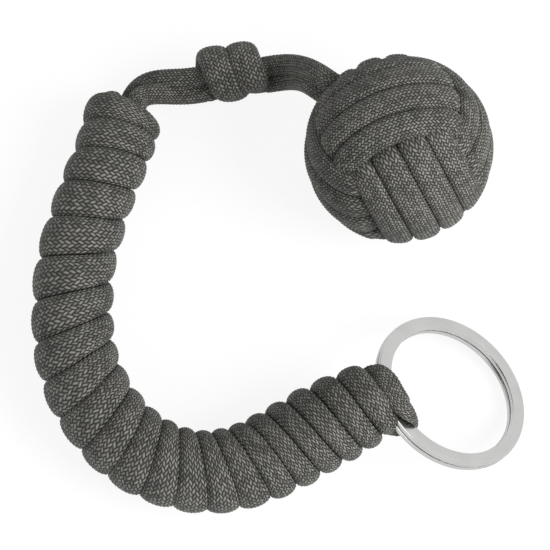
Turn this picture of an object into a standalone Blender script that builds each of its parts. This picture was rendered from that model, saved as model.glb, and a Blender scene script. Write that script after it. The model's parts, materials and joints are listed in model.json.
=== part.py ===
# Monkey fist knot: a cord-covered steel ball, two strands through a stopper knot, and a
# curved handle wound with the same cord, which ends in an eye that holds a split ring.
# Units are metres and +Z is up. The object lies on the plane z = 0.
import math

import bmesh
import bpy
import numpy as np
from mathutils import Matrix, Vector

MM = 0.001

# Cord
CORD_DIAMETER = 3.7 * MM         # seven-strand cord, pulled snug
LAID_THICKNESS = 3.1 * MM        # the same cord pressed flat where it is wound
TOUCH_GAP = 0.35 * MM            # between pieces that touch
TURN_GAP = 0.5 * MM              # between neighbouring turns of one wound tube
FLAT_DEPTH = 0.1 * CORD_DIAMETER  # worn flat where a wound cord stands on the table

# Handle
HANDLE_ROUTE = (  # x, y and rise above the resting height, in millimetres
    (-28.95, 34.25, 0.0),
    (-31.3, 23.95, 0.0),
    (-34.95, 12.45, 0.0),
    (-37.25, -0.55, 0.0),
    (-36.5, -15.15, 0.0),
    (-31.1, -27.65, 0.0),
    (-20.75, -36.45, 0.0),
    (-8.85, -38.0, 0.0),
    (1.7, -33.85, 0.7),
    (8.95, -30.05, 2.6),
    (15.85, -27.35, 5.1),
)
WRAP_TURNS = 22
WRAP_SPREAD = (                  # share of the turns and share of the wound length that they cover
    (0.0, 0.0),
    (0.047, 0.0425),
    (0.14, 0.145),
    (0.234, 0.28),
    (0.328, 0.407),
    (0.468, 0.5705),
    (0.608, 0.6955),
    (0.795, 0.832),
    (1.0, 1.0),
)
WRAP_SETBACKS = (1.0 * MM, 0.2 * MM)  # from the ends of the handle to the first and the last turn
WRAP_LEAN = (                    # share of the turns and how far a turn leans there, outer side against inner
    (0.0, 0.8 * MM),
    (0.12, 1.7 * MM),
    (0.4, 1.8 * MM),
    (0.6, 1.1 * MM),
    (0.85, 1.1 * MM),
    (1.0, 0.5 * MM),
)
WRAP_HOOK = math.radians(90)     # how far round the wrap turns while it goes into the core
WRAP_LEAVES = math.radians(-75)  # from the top towards the outer side, where the eye's cord joins it
HOOK_PULLS = (5.4 * MM, 7.6 * MM)  # how far the hook keeps the core's and then the wrap's direction
HOOK_WIDTH = 3.1 * MM            # the cord is drawn narrow where it bends over the handle's edge
CORE_SETBACK = 3.0 * MM          # two of the core's strands end this far inside the handle's ring end
CORE_ANGLES = {                  # round the handle's middle, from the top towards its outer side
    "core_strand_a": math.radians(180),
    "core_strand_b": math.radians(-60),
    "core_strand_c": math.radians(60),
}

# Fist
BALL_DIAMETER = 20.0 * MM
FIST_PASSES = 4                  # turns in each of the three sets
FIST_PLACE = (22.35 * MM, 20.85 * MM)
FACE_PITCH = 5.0 * MM            # between neighbouring turns at the middle of a face
DIVE_PITCH = 3.2 * MM            # between neighbouring turns where they go under the next set
LAYER_GAP = 0.65 * MM            # between a set and the one that it crosses
BALL_GAP = 0.45 * MM             # between the ball and the cord that is wound on it
SET_OVERRUN = math.radians(14)   # past the middle of the under stretch, where a set starts and ends
TURN_SHIFT = 0.1                 # share of a turn, at each end, where the cord moves over to the next
DIVE_START = math.radians(34)    # from the middle of the under stretch to where the cord rises
DIVE_END = math.radians(52)
FIST_TOP = Vector((-0.24, 0.315, 0.914))
FIST_FRONT = Vector((0.24, -0.89, 0.378))

# Stopper knot, throat and neck
KNOT_CENTRE = Vector((-8.35 * MM, 40.35 * MM, 11.0 * MM))
KNOT_AXIS = Vector((0.985, 0.09, 0.14)).normalized()
KNOT_LENGTH = 13.6 * MM          # between the ends of the strands that run through it
KNOT_LEAD_ANGLE = math.radians(70)  # how far round the cord comes while it turns into the knot
KNOT_PITCH = 4.4 * MM
KNOT_WIDTH = 3.8 * MM
KNOT_UPPER_SIDE = Vector((0, 0.91, 0.41))  # the side where the strand that runs through shows least
KNOT_PULLS = (2.0 * MM, 2.4 * MM)  # how far the leads keep the strand's and then the knot's direction
NECK_END_DEPTH = 0.5 * MM        # the neck's strands end this far inside the fist's outer size
STRAND_STUB = 0.8 * MM           # straight run at a strand's ends
THROAT_PULLS = {"a": (7.0 * MM, 4.0 * MM), "b": (2.0 * MM, 5.0 * MM)}
NECK_PULLS = (6.5 * MM, 6.5 * MM)
NECK_SPREAD = 1.1                # the strands part a little before they go into the fist

# Ring
RING_DIAMETER = 30.0 * MM
RING_WIRE_WIDTH = 2.6 * MM
RING_WIRE_THICKNESS = 1.0 * MM
RING_LAYER_GAP = 0.3 * MM
RING_STEP_HALF = math.radians(11)  # half of the stretch where the wire changes layer
RING_END_GAP = math.radians(1.65)  # between that stretch and each end of the wire
RING_CENTRE_PLACE = (31.0 * MM, -23.55 * MM)
RING_TILT = math.radians(27.9)
RING_TILT_HEADING = math.radians(19)
RING_STEP_HEADING = math.radians(180)  # hidden in the eye

# Eye
EYE_SLANT = 6.4 * MM             # along the wire, from where the cord comes over it to where it goes under
EYE_SHIFT = -0.8 * MM            # of the middle of that stretch along the wire
EYE_CLEARANCE = 0.5 * MM         # between the cord and the turning wire
EYE_PULLS = (4.5 * MM, 4.5 * MM)  # how far the cord keeps its direction from the core and under the wire
WRAP_PULLS = (3.0 * MM, 3.0 * MM)

# Facets
WRAP_STEPS = 16                  # rings of points in one turn of the wrap
FIST_STEPS = 28
STRAND_STEP = 1.5                # strand points, in cord diameters
RING_STEPS = 48
EYE_STEPS = 8                    # points in the half turn round the wire
EYE_LEAD_POINTS = 4
EYE_RETURN_POINTS = 6
HOOK_STEPS = 5
KNOT_STEPS = 30
KNOT_LEAD_STEPS = 5
THROAT_POINTS = 6
NECK_POINTS = 9
SMOOTH_UNDER = math.radians(50)  # edges sharper than this stay sharp
BALL_SEGMENTS = 24

# Colours, roughness and metallic value of each material
CORD_LOOK = ((0.073, 0.075, 0.066), 0.8, 0.0)
RING_LOOK = ((0.62, 0.62, 0.6), 0.28, 1.0)
BALL_LOOK = ((0.45, 0.45, 0.45), 0.25, 1.0)

# Sizes that follow from the ones above
strand_spacing = CORD_DIAMETER + TOUCH_GAP
core_offset = strand_spacing / math.sqrt(3)
wrap_radius = core_offset + CORD_DIAMETER / 2 + TOUCH_GAP + LAID_THICKNESS / 2
handle_radius = wrap_radius + LAID_THICKNESS / 2
fist_inner = BALL_DIAMETER / 2 + BALL_GAP + LAID_THICKNESS / 2
fist_outer = fist_inner + LAID_THICKNESS + LAYER_GAP
fist_radius = fist_outer + LAID_THICKNESS / 2
fist_centre = Vector((*FIST_PLACE, fist_radius - FLAT_DEPTH))
ring_thickness = 2 * RING_WIRE_THICKNESS + RING_LAYER_GAP
ring_middle_radius = (RING_DIAMETER - RING_WIRE_WIDTH) / 2
ring_height = RING_DIAMETER / 2 * math.sin(RING_TILT) + ring_thickness / 2 * math.cos(RING_TILT)
ring_centre = Vector((*RING_CENTRE_PLACE, ring_height))
eye_radius = math.hypot(RING_WIRE_WIDTH, ring_thickness) / 2 + EYE_CLEARANCE + CORD_DIAMETER / 2
wrap_start_angle = CORE_ANGLES["core_strand_c"] + WRAP_HOOK
wrap_turns = WRAP_TURNS + (WRAP_LEAVES - wrap_start_angle) / (2 * math.pi)


def clear_scene():
    for old in list(bpy.data.objects):
        bpy.data.objects.remove(old, do_unlink=True)


def new_collection(name):
    made = bpy.data.collections.new(name)
    bpy.context.scene.collection.children.link(made)
    return made


def new_material(name, look):
    colour, roughness, metallic = look
    made = bpy.data.materials.new(name)
    made.use_nodes = True
    shader = made.node_tree.nodes["Principled BSDF"]
    shader.inputs["Base Color"].default_value = (*colour, 1.0)
    shader.inputs["Roughness"].default_value = roughness
    shader.inputs["Metallic"].default_value = metallic
    made.diffuse_color = (*colour, 1.0)
    return made


def smooth_step(value, start, end):
    share = min(max((value - start) / (end - start), 0.0), 1.0)
    return share * share * (3 - 2 * share)


def read_smoothly(rows, at):
    """The value at a place, on a smooth curve through rows of place and value."""
    places, values = zip(*rows)
    slopes = np.gradient(values, places)
    row = min(max(int(np.searchsorted(places, at)) - 1, 0), len(rows) - 2)
    step = places[row + 1] - places[row]
    t = (at - places[row]) / step
    rise = values[row + 1] - values[row]
    bend = 3 * rise - step * (2 * slopes[row] + slopes[row + 1])
    turn_back = step * (slopes[row] + slopes[row + 1]) - 2 * rise
    return float(values[row] + t * (step * slopes[row] + t * (bend + t * turn_back)))


def across(direction, hint):
    """The hint made square to the direction, at unit length."""
    return (hint - hint.dot(direction) * direction).normalized()


def bezier(start, start_pull, end_pull, end, count):
    """Points along a cubic curve, both ends included."""
    points = []
    for step in range(count):
        t = step / (count - 1)
        points.append(
            start * (1 - t) ** 3
            + start_pull * 3 * t * (1 - t) ** 2
            + end_pull * 3 * t * t * (1 - t)
            + end * t ** 3
        )
    return points


class Route:
    """A smooth curve through chosen points, read by the distance along it."""

    def __init__(self, points, steps=24):
        ends = [points[0] * 2 - points[1], *points, points[-1] * 2 - points[-2]]
        self.points = []
        for before, here, there, after in zip(ends, ends[1:], ends[2:], ends[3:]):
            for step in range(steps):
                t = step / steps
                self.points.append(
                    (
                        here * 2
                        + (there - before) * t
                        + (before * 2 - here * 5 + there * 4 - after) * t ** 2
                        + (here * 3 - before - there * 3 + after) * t ** 3
                    )
                    / 2
                )
        self.points.append(points[-1].copy())
        self.reached = [0.0]
        for here, there in zip(self.points, self.points[1:]):
            self.reached.append(self.reached[-1] + (there - here).length)
        self.length = self.reached[-1]

    def place(self, distance):
        """The point at a distance, carried on straight past either end."""
        last = len(self.points) - 2
        index = min(max(int(np.searchsorted(self.reached, distance)) - 1, 0), last)
        share = (distance - self.reached[index]) / (self.reached[index + 1] - self.reached[index])
        return self.points[index].lerp(self.points[index + 1], share)

    def frame(self, distance, reach=1.5 * MM):
        """The point, and the directions along, up and to the outer side."""
        along = (self.place(distance + reach) - self.place(distance - reach)).normalized()
        outer_side = along.cross(Vector((0, 0, 1))).normalized()
        return self.place(distance), along, outer_side.cross(along), outer_side


def finish(name, mesh, material, collection):
    mesh.materials.append(material)
    made = bpy.data.objects.new(name, mesh)
    collection.objects.link(made)
    return made


def mesh_from(name, shape, smooth=True):
    bmesh.ops.recalc_face_normals(shape, faces=shape.faces)
    mesh = bpy.data.meshes.new(name)
    shape.to_mesh(mesh)
    shape.free()
    if smooth:
        mesh.shade_smooth()
        mesh.set_sharp_from_angle(angle=SMOOTH_UNDER)
    return mesh


def skin(name, sections, material, collection):
    """One closed body through sections that have the same number of corners."""
    shape = bmesh.new()
    rings = [[shape.verts.new(corner) for corner in corners] for corners in sections]
    for ring, following in zip(rings, rings[1:]):
        for side in range(len(ring)):
            other = (side + 1) % len(ring)
            shape.faces.new((ring[side], ring[other], following[other], following[side]))
    shape.faces.new(rings[0])
    shape.faces.new(rings[-1])
    return finish(name, mesh_from(name, shape), material, collection)


def cord_section(centre, along, outward, width):
    """The six corners of a flattened cord's section, lying on what it is wound on."""
    outward = across(along, outward) * LAID_THICKNESS / 2
    sideways = along.cross(outward).normalized() * width / 2
    return [
        centre + sideways,
        centre + sideways / 2 + outward,
        centre - sideways / 2 + outward,
        centre - sideways,
        centre - sideways / 2 - outward,
        centre + sideways / 2 - outward,
    ]


def laid_cord(name, stations, material, collection):
    """One unbroken tube through stations of centre, outward direction and width.

    A laid cord is pressed flat against what it is wound on, and narrows where its turns
    crowd together, so unlike sections are joined one after the other.
    """
    centres = [station[0] for station in stations]
    sections = []
    for index, (centre, outward, width) in enumerate(stations):
        before = centres[max(index - 1, 0)]
        after = centres[min(index + 1, len(centres) - 1)]
        sections.append(cord_section(centre, (after - before).normalized(), outward, width))
    return skin(name, sections, material, collection), centres, sections


def least_gap(centres, sections, apart):
    """The least gap of a wound tube to itself, between sections over `apart` stations away."""
    middle = np.array([tuple(centre) for centre in centres])
    corners = np.array([[tuple(corner) for corner in section] for section in sections])
    least = math.inf
    for index in range(len(middle) - apart):
        reach = middle[index + apart:] - middle[index]
        distance = np.linalg.norm(reach, axis=1)
        towards = reach / distance[:, None]
        own = ((corners[index] - middle[index]) @ towards.T).max(axis=0)
        others = corners[index + apart:] - middle[index + apart:, None]
        met = (others * -towards[:, None]).sum(axis=2).max(axis=1)
        least = min(least, float((distance - own - met).min()))
    return least


def round_tube(name, points, diameter, material, collection):
    """A round strand through its points, with flat closed ends."""
    curve = bpy.data.curves.new(name, "CURVE")
    curve.dimensions = "3D"
    curve.bevel_depth = diameter / 2
    curve.bevel_resolution = 2
    curve.use_fill_caps = True
    spline = curve.splines.new("POLY")
    spline.points.add(len(points) - 1)
    for target, point in zip(spline.points, points):
        target.co = (*point, 1.0)
    spline.use_smooth = True
    curve.materials.append(material)
    made = bpy.data.objects.new(name, curve)
    collection.objects.link(made)
    return made


def stand_flat(piece, cutters):
    """Cuts a wound piece flat where it stands on the table."""
    size = 0.2
    shape = bmesh.new()
    bmesh.ops.create_cube(shape, size=size)
    cutter = bpy.data.objects.new(piece.name + "_table", mesh_from("table", shape, smooth=False))
    cutter.location = (0, 0, -size / 2)
    cutter.hide_render = True
    cutter.display_type = "WIRE"
    cutters.objects.link(cutter)
    cut = piece.modifiers.new("stand flat", "BOOLEAN")
    cut.operation = "DIFFERENCE"
    cut.solver = "EXACT"
    cut.object = cutter


def on_handle(route, distance, angle, radius):
    """A point round the handle's middle, and its outward direction."""
    middle, along, up, outer_side = route.frame(distance)
    outward = up * math.cos(angle) + outer_side * math.sin(angle)
    return middle + outward * radius, outward


def wrap_place(route, turn):
    """The middle of the wrap's cord, and its outward direction, after so many turns."""
    start, end = WRAP_SETBACKS
    angle = wrap_start_angle + 2 * math.pi * turn
    share = turn / wrap_turns
    steady = start + (route.length - start - end) * read_smoothly(WRAP_SPREAD, share)
    lean = read_smoothly(WRAP_LEAN, share) * math.sin(angle)
    return on_handle(route, steady + lean, angle, wrap_radius)


def wrap_hook(route, first, second):
    """Where the wrap ends at the fist's side: over the handle's edge and straight into the core."""
    angle = CORE_ANGLES["core_strand_c"]
    inner_end, outward = on_handle(route, CORD_DIAMETER, angle, core_offset)
    mouth, _ = on_handle(route, 0, angle, core_offset)
    leaving = (mouth - inner_end).normalized()
    arriving = (second[0] - first[0]).normalized()
    out_pull, in_pull = HOOK_PULLS
    hook = bezier(mouth, mouth + leaving * out_pull, first[0] - arriving * in_pull, first[0], HOOK_STEPS + 1)
    stations = [(inner_end, outward, HOOK_WIDTH)]
    for step, centre in enumerate(hook[:-1]):
        t = step / HOOK_STEPS
        lean_out = leaving * math.sin(math.pi * t)
        facing = outward.lerp(first[1], t) + lean_out
        stations.append((centre, facing, HOOK_WIDTH + (first[2] - HOOK_WIDTH) * t ** 3))
    return stations


def wrap_stations(route):
    """The wound part of the wrap: each station is as wide as its neighbours leave room for."""
    stations = []
    count = round(wrap_turns * WRAP_STEPS)
    for step in range(count + 1):
        turn = wrap_turns * step / count
        centre, outward = wrap_place(route, turn)
        along = (wrap_place(route, turn + 0.02)[0] - wrap_place(route, turn - 0.02)[0]).normalized()
        sideways = along.cross(outward).normalized()
        neighbours = [other for other in (turn - 1, turn + 1) if 0 <= other <= wrap_turns]
        room = min(abs((wrap_place(route, other)[0] - centre).dot(sideways)) for other in neighbours)
        stations.append((centre, outward, room - TURN_GAP))
    return stations


def handle_wrap(route, material, parts, cutters):
    """The handle's covering: one cord wound right-handed round the core strands."""
    stations = wrap_stations(route)
    stations = wrap_hook(route, stations[0], stations[1]) + stations
    piece, centres, sections = laid_cord("handle_wrap", stations, material, parts)
    gap = least_gap(centres, sections, WRAP_STEPS // 2)
    print(f"handle_wrap: {wrap_turns:.1f} turns, least gap to itself {gap / MM:.2f} mm")
    stand_flat(piece, cutters)


def core_strands(route, material, parts):
    """The three lengths of cord that the wrap covers; the third is the wrap's own tail."""
    stretches = {
        "core_strand_a": (0, route.length),
        "core_strand_b": (0, route.length - CORE_SETBACK),
        "core_strand_c": (CORD_DIAMETER + TOUCH_GAP, route.length - CORE_SETBACK),
    }
    for name, (start, end) in stretches.items():
        count = math.ceil(route.length / (STRAND_STEP * CORD_DIAMETER)) + 1
        distances = [start + (end - start) * step / (count - 1) for step in range(count)]
        points = [on_handle(route, each, CORE_ANGLES[name], core_offset)[0] for each in distances]
        round_tube(name, points, CORD_DIAMETER, material, parts)


def fist_axes():
    top = FIST_TOP.normalized()
    front = across(top, FIST_FRONT)
    return top, front, front.cross(top) * -1


def fist_stations(around, over, under, cut_angle):
    """One set of turns round an axis, over the next set on two faces and under the last on two."""
    stations = []
    for step in range(FIST_PASSES * FIST_STEPS + 1):
        angle = cut_angle + 2 * math.pi * step / FIST_STEPS
        from_under = abs(math.asin(math.sin(angle)))
        rise = smooth_step(from_under, DIVE_START, DIVE_END)
        radius = fist_inner + (fist_outer - fist_inner) * rise
        pitch = DIVE_PITCH + (FACE_PITCH - DIVE_PITCH) * smooth_step(from_under, DIVE_START, math.pi / 2)
        into_turn = step % FIST_STEPS / FIST_STEPS
        turns_done = step // FIST_STEPS
        shift = smooth_step(into_turn, 0, TURN_SHIFT) + smooth_step(into_turn, 1 - TURN_SHIFT, 1)
        number = turns_done + (shift - 1) / 2
        latitude = (number - (FIST_PASSES - 1) / 2) * pitch / radius
        level = under * math.cos(angle) + over * math.sin(angle)
        outward = level * math.cos(latitude) + around * math.sin(latitude)
        stations.append((fist_centre + outward * radius, outward, pitch - TURN_GAP))
    return stations


def fist_set(name, stations, material, parts, cutters):
    piece, centres, sections = laid_cord(name, stations, material, parts)
    gap = least_gap(centres, sections, FIST_STEPS // 2)
    print(f"{name}: {FIST_PASSES} turns, least gap to itself {gap / MM:.2f} mm")
    stand_flat(piece, cutters)


def fist(cord, metal, parts, cutters):
    top, front, right = fist_axes()
    sets = {
        "fist_first_turns": fist_stations(front, top, right, math.pi + SET_OVERRUN),
        "fist_second_turns": fist_stations(right, front, top, math.pi + SET_OVERRUN),
        "fist_third_turns": fist_stations(top, right, front, math.pi - SET_OVERRUN),
    }
    for name, stations in sets.items():
        fist_set(name, stations, cord, parts, cutters)
    shape = bmesh.new()
    bmesh.ops.create_uvsphere(
        shape, u_segments=BALL_SEGMENTS, v_segments=BALL_SEGMENTS // 2, radius=BALL_DIAMETER / 2
    )
    ball = finish("steel_ball", mesh_from("steel_ball", shape), metal, parts)
    ball.location = fist_centre


def neck_axis():
    top, front, right = fist_axes()
    return (top - front - right).normalized()


def knot_directions():
    """The knot's upper side and the direction round from it, square to its axis."""
    upper = across(KNOT_AXIS, KNOT_UPPER_SIDE)
    return upper, KNOT_AXIS.cross(upper)


def on_knot(along, angle, radius):
    """A point round the strand that runs through the knot, and its outward direction."""
    upper, round_about = knot_directions()
    outward = upper * math.cos(angle) + round_about * math.sin(angle)
    return KNOT_CENTRE + KNOT_AXIS * along + outward * radius, outward


def stopper_knot(cord, parts):
    """One strand knotted round the other, which runs straight through."""
    knot_radius = CORD_DIAMETER / 2 + TOUCH_GAP + LAID_THICKNESS / 2
    angle_start = math.pi + KNOT_LEAD_ANGLE
    angle_end = 5 * math.pi - KNOT_LEAD_ANGLE
    coil = []
    for step in range(KNOT_STEPS + 1):
        angle = angle_start + (angle_end - angle_start) * step / KNOT_STEPS
        along = KNOT_PITCH * (angle - 3 * math.pi) / (2 * math.pi)
        coil.append((*on_knot(along, angle, knot_radius), KNOT_WIDTH))
    stations = knot_lead(-1, coil[0], coil[1]) + coil + knot_lead(1, coil[-1], coil[-2])[::-1]
    piece, centres, sections = laid_cord("stopper_knot", stations, cord, parts)
    gap = least_gap(centres, sections, KNOT_STEPS // 3)
    print(f"stopper_knot: least gap to itself {gap / MM:.2f} mm")
    ends = [on_knot(end * KNOT_LENGTH / 2, 0, 0)[0] for end in (-1, 0, 1)]
    round_tube("knot_through_strand", ends, CORD_DIAMETER, cord, parts)


def knot_lead(end, first, second):
    """Where the knotted strand comes in beside the other one and turns into the knot."""
    mouth, outward = on_knot(end * KNOT_LENGTH / 2, math.pi, strand_spacing)
    arriving = (second[0] - first[0]).normalized()
    inward = KNOT_AXIS * -end
    bend = mouth + inward * STRAND_STUB
    in_pull, turn_pull = KNOT_PULLS
    lead = bezier(bend, bend + inward * in_pull, first[0] - arriving * turn_pull, first[0], KNOT_LEAD_STEPS + 1)
    stations = [(mouth, outward, KNOT_WIDTH)]
    for step, centre in enumerate(lead[:-1]):
        stations.append((centre, outward.lerp(first[1], step / KNOT_LEAD_STEPS), KNOT_WIDTH))
    return stations


def neck_place(side):
    """Where a strand of the neck meets the fist: side +1 for the upper, -1 for the lower, 0 between."""
    axis = neck_axis()
    upper = across(axis, KNOT_UPPER_SIDE)
    apart = strand_spacing * NECK_SPREAD
    return fist_centre + axis * (fist_radius - NECK_END_DEPTH) + upper * side * apart / 2


def joined_points(start, leaving, end, arriving, pulls, count):
    """A strand's points from one face to another, with a short straight run at each."""
    first, last = start + leaving * STRAND_STUB, end - arriving * STRAND_STUB
    curve = bezier(first, first + leaving * pulls[0], last - arriving * pulls[1], last, count)
    return [start, *curve, end]


def throat_and_neck(route, cord, parts):
    """The two strands between the handle and the knot, and between the knot and the fist."""
    leaving = -route.frame(0)[1]
    entering = -neck_axis()
    for letter, radius, side in (("a", 0, 1), ("b", strand_spacing, -1)):
        core_end, _ = on_handle(route, 0, CORE_ANGLES["core_strand_" + letter], core_offset)
        knot_start, _ = on_knot(-KNOT_LENGTH / 2 - TOUCH_GAP, math.pi, radius)
        knot_end, _ = on_knot(KNOT_LENGTH / 2 + TOUCH_GAP, math.pi, radius)
        throat = joined_points(
            core_end + leaving * TOUCH_GAP, leaving, knot_start, KNOT_AXIS, THROAT_PULLS[letter], THROAT_POINTS
        )
        neck_end = neck_place(side)
        neck = joined_points(knot_end, KNOT_AXIS, neck_end, entering, NECK_PULLS, NECK_POINTS)
        round_tube("throat_strand_" + letter, throat, CORD_DIAMETER, cord, parts)
        round_tube("neck_strand_" + letter, neck, CORD_DIAMETER, cord, parts)


def ring_directions():
    """From the ring's middle to the eye, and along the wire there."""
    turn = ring_matrix().to_3x3()
    return turn @ Vector((-1, 0, 0)), turn @ Vector((0, 1, 0))


def ring_eye(route, cord, parts):
    """The bight that holds the ring: out of the core, under the wire, over it and into the wrap."""
    to_eye, wire = ring_directions()
    wire_middle = ring_centre + to_eye * ring_middle_radius
    heading = across(wire, route.frame(route.length)[1])
    over = heading.cross(wire)
    bight = []
    for step in range(EYE_STEPS + 1):
        share = step / EYE_STEPS
        outward = heading * math.sin(math.pi * share) - over * math.cos(math.pi * share)
        slide = EYE_SHIFT + EYE_SLANT * (smooth_step(share, 0, 1) - 0.5)
        drawn_in = ring_middle_radius - math.sqrt(ring_middle_radius ** 2 - slide ** 2)
        bight.append(wire_middle - to_eye * drawn_in + wire * slide + outward * eye_radius)
    core_end, _ = on_handle(route, route.length + TOUCH_GAP, CORE_ANGLES["core_strand_a"], core_offset)
    leaving = route.frame(route.length)[1]
    out_of_bight = (bight[-1] - bight[-2]).normalized()
    wrap = wrap_stations(route)
    joining = (wrap[-2][0] - wrap[-1][0]).normalized()
    wrap_end = wrap[-1][0] - joining * TOUCH_GAP
    bend = core_end + leaving * STRAND_STUB
    out_pull, in_pull = EYE_PULLS
    lead_in = bezier(bend, bend + leaving * out_pull, bight[0] - heading * in_pull, bight[0], EYE_LEAD_POINTS)
    lead_out = joined_points(bight[-1], out_of_bight, wrap_end, joining, WRAP_PULLS, EYE_RETURN_POINTS)
    round_tube("ring_eye", [core_end, *lead_in[:-1], *bight, *lead_out[1:]], CORD_DIAMETER, cord, parts)


def split_ring(metal, parts):
    """Two flat turns of wire that lie on each other, with one step between the layers."""
    steps = 2 * RING_STEPS
    start = RING_STEP_HALF + RING_END_GAP
    half_width, half_thickness = RING_WIRE_WIDTH / 2, RING_WIRE_THICKNESS / 2
    layer = (RING_WIRE_THICKNESS + RING_LAYER_GAP) / 2
    sections = []
    for index in range(steps + 1):
        angle = start + (4 * math.pi - 2 * start) * index / steps
        rise = smooth_step(angle, 2 * math.pi - RING_STEP_HALF, 2 * math.pi + RING_STEP_HALF)
        height = layer * (2 * rise - 1)
        turned = angle + RING_STEP_HEADING
        outward = Vector((math.cos(turned), math.sin(turned), 0))
        inner = outward * (ring_middle_radius - half_width)
        outer = outward * (ring_middle_radius + half_width)
        low, high = Vector((0, 0, height - half_thickness)), Vector((0, 0, height + half_thickness))
        sections.append([inner + low, outer + low, outer + high, inner + high])
    ring = skin("split_ring", sections, metal, parts)
    ring.matrix_world = ring_matrix()


def ring_matrix():
    """The ring's place: it leans on the table at one side and hangs in the eye at the other."""
    heading = Matrix.Rotation(RING_TILT_HEADING, 4, "Z")
    tilt = Matrix.Rotation(RING_TILT, 4, "Y")
    return Matrix.Translation(ring_centre) @ heading @ tilt


def joint_places(route):
    """Where each joint of the flexible strands, the eye and the ring has its axis."""
    between_strands = strand_spacing / 2
    to_eye, _ = ring_directions()
    return {
        "throat_level": route.place(0),
        "throat_upright": on_knot(-KNOT_LENGTH / 2, math.pi, between_strands)[0],
        "neck_level": on_knot(KNOT_LENGTH / 2, math.pi, between_strands)[0],
        "neck_upright": neck_place(0),
        "ring_swing": ring_centre + to_eye * ring_middle_radius,
        "ring_turn": ring_centre,
    }


def hang_on_joints(route, parts):
    """An empty on each joint's axis, which carries the pieces that move there."""
    fist_pieces = ("steel_ball", "fist_first_turns", "fist_second_turns", "fist_third_turns")
    carried = {
        "throat_level": ("throat_strand_a", "throat_strand_b", "throat_upright"),
        "throat_upright": ("stopper_knot", "knot_through_strand", "neck_level"),
        "neck_level": ("neck_strand_a", "neck_strand_b", "neck_upright"),
        "neck_upright": fist_pieces,
        "ring_swing": ("ring_eye", "ring_turn"),
        "ring_turn": ("split_ring",),
    }
    places = joint_places(route)
    for name, place in places.items():
        empty = bpy.data.objects.new(name, None)
        empty.location = place
        empty.empty_display_size = CORD_DIAMETER
        parts.objects.link(empty)
        print(f"{name}: at {[round(value / MM, 2) for value in place]} mm")
    for name, pieces in carried.items():
        for piece in pieces:
            parts.objects[piece].parent = parts.objects[name]
            parts.objects[piece].matrix_parent_inverse = Matrix.Translation(-places[name])


def build():
    clear_scene()
    parts = new_collection("monkey_fist_knot")
    cutters = new_collection("cutters")
    cord = new_material("braided_nylon_cord", CORD_LOOK)
    nickel = new_material("nickel_plated_steel", RING_LOOK)
    steel = new_material("bearing_steel", BALL_LOOK)
    middle_height = Vector((0, 0, handle_radius - FLAT_DEPTH))
    route = Route([Vector(point) * MM + middle_height for point in HANDLE_ROUTE])
    print(f"handle: {route.length / MM:.1f} mm along its middle, {2 * handle_radius / MM:.1f} mm thick")
    handle_wrap(route, cord, parts, cutters)
    core_strands(route, cord, parts)
    fist(cord, steel, parts, cutters)
    stopper_knot(cord, parts)
    throat_and_neck(route, cord, parts)
    ring_eye(route, cord, parts)
    split_ring(nickel, parts)
    hang_on_joints(route, parts)


build()
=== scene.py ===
import json
import math

import bmesh
import bpy
import numpy as np
from mathutils import Matrix, Vector

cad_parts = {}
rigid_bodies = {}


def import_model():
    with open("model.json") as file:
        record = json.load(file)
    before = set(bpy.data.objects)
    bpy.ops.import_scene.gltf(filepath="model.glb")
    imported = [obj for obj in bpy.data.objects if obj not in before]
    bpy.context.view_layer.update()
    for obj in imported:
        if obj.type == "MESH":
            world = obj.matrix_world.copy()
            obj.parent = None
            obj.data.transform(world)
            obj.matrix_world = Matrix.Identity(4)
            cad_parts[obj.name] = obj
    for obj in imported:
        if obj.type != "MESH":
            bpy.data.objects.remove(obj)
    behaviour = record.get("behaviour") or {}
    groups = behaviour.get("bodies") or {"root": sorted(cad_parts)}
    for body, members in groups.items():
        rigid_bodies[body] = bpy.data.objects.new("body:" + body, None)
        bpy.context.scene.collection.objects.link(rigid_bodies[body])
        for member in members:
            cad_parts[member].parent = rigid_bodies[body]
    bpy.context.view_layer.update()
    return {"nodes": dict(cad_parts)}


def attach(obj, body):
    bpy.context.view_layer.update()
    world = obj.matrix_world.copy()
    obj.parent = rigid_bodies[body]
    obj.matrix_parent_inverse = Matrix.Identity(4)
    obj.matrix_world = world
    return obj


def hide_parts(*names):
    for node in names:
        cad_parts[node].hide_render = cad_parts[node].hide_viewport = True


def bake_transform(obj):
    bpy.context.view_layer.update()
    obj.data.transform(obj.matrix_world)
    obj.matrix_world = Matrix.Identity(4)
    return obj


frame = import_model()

mm = 0.001
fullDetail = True
print("frame loaded, nodes:", len(frame["nodes"]))


# curves

pathSteps = 60                     # from each chosen point of a path to the next


def unit(vectors):
    return vectors / np.linalg.norm(vectors, axis=-1, keepdims=True)


def squareTo(direction, hint):  # the hint, made square to the direction
    return unit(hint - (hint * direction).sum(axis=-1, keepdims=True) * direction)


def smoothStep(value, start, end):
    share = np.clip((np.asarray(value, float) - start) / (end - start), 0, 1)
    return share * share * (3 - 2 * share)


def readSmoothly(rows, at):  # a smooth curve through rows of place and value
    places, values = np.array(rows, float).T
    slopes = np.gradient(values, places)
    row = np.clip(np.searchsorted(places, at) - 1, 0, len(rows) - 2)
    step, rise = places[row + 1] - places[row], values[row + 1] - values[row]
    t = (at - places[row]) / step
    bend = 3 * rise - step * (2 * slopes[row] + slopes[row + 1])
    back = step * (slopes[row] + slopes[row + 1]) - 2 * rise
    return values[row] + t * (step * slopes[row] + t * (bend + t * back))


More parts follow.
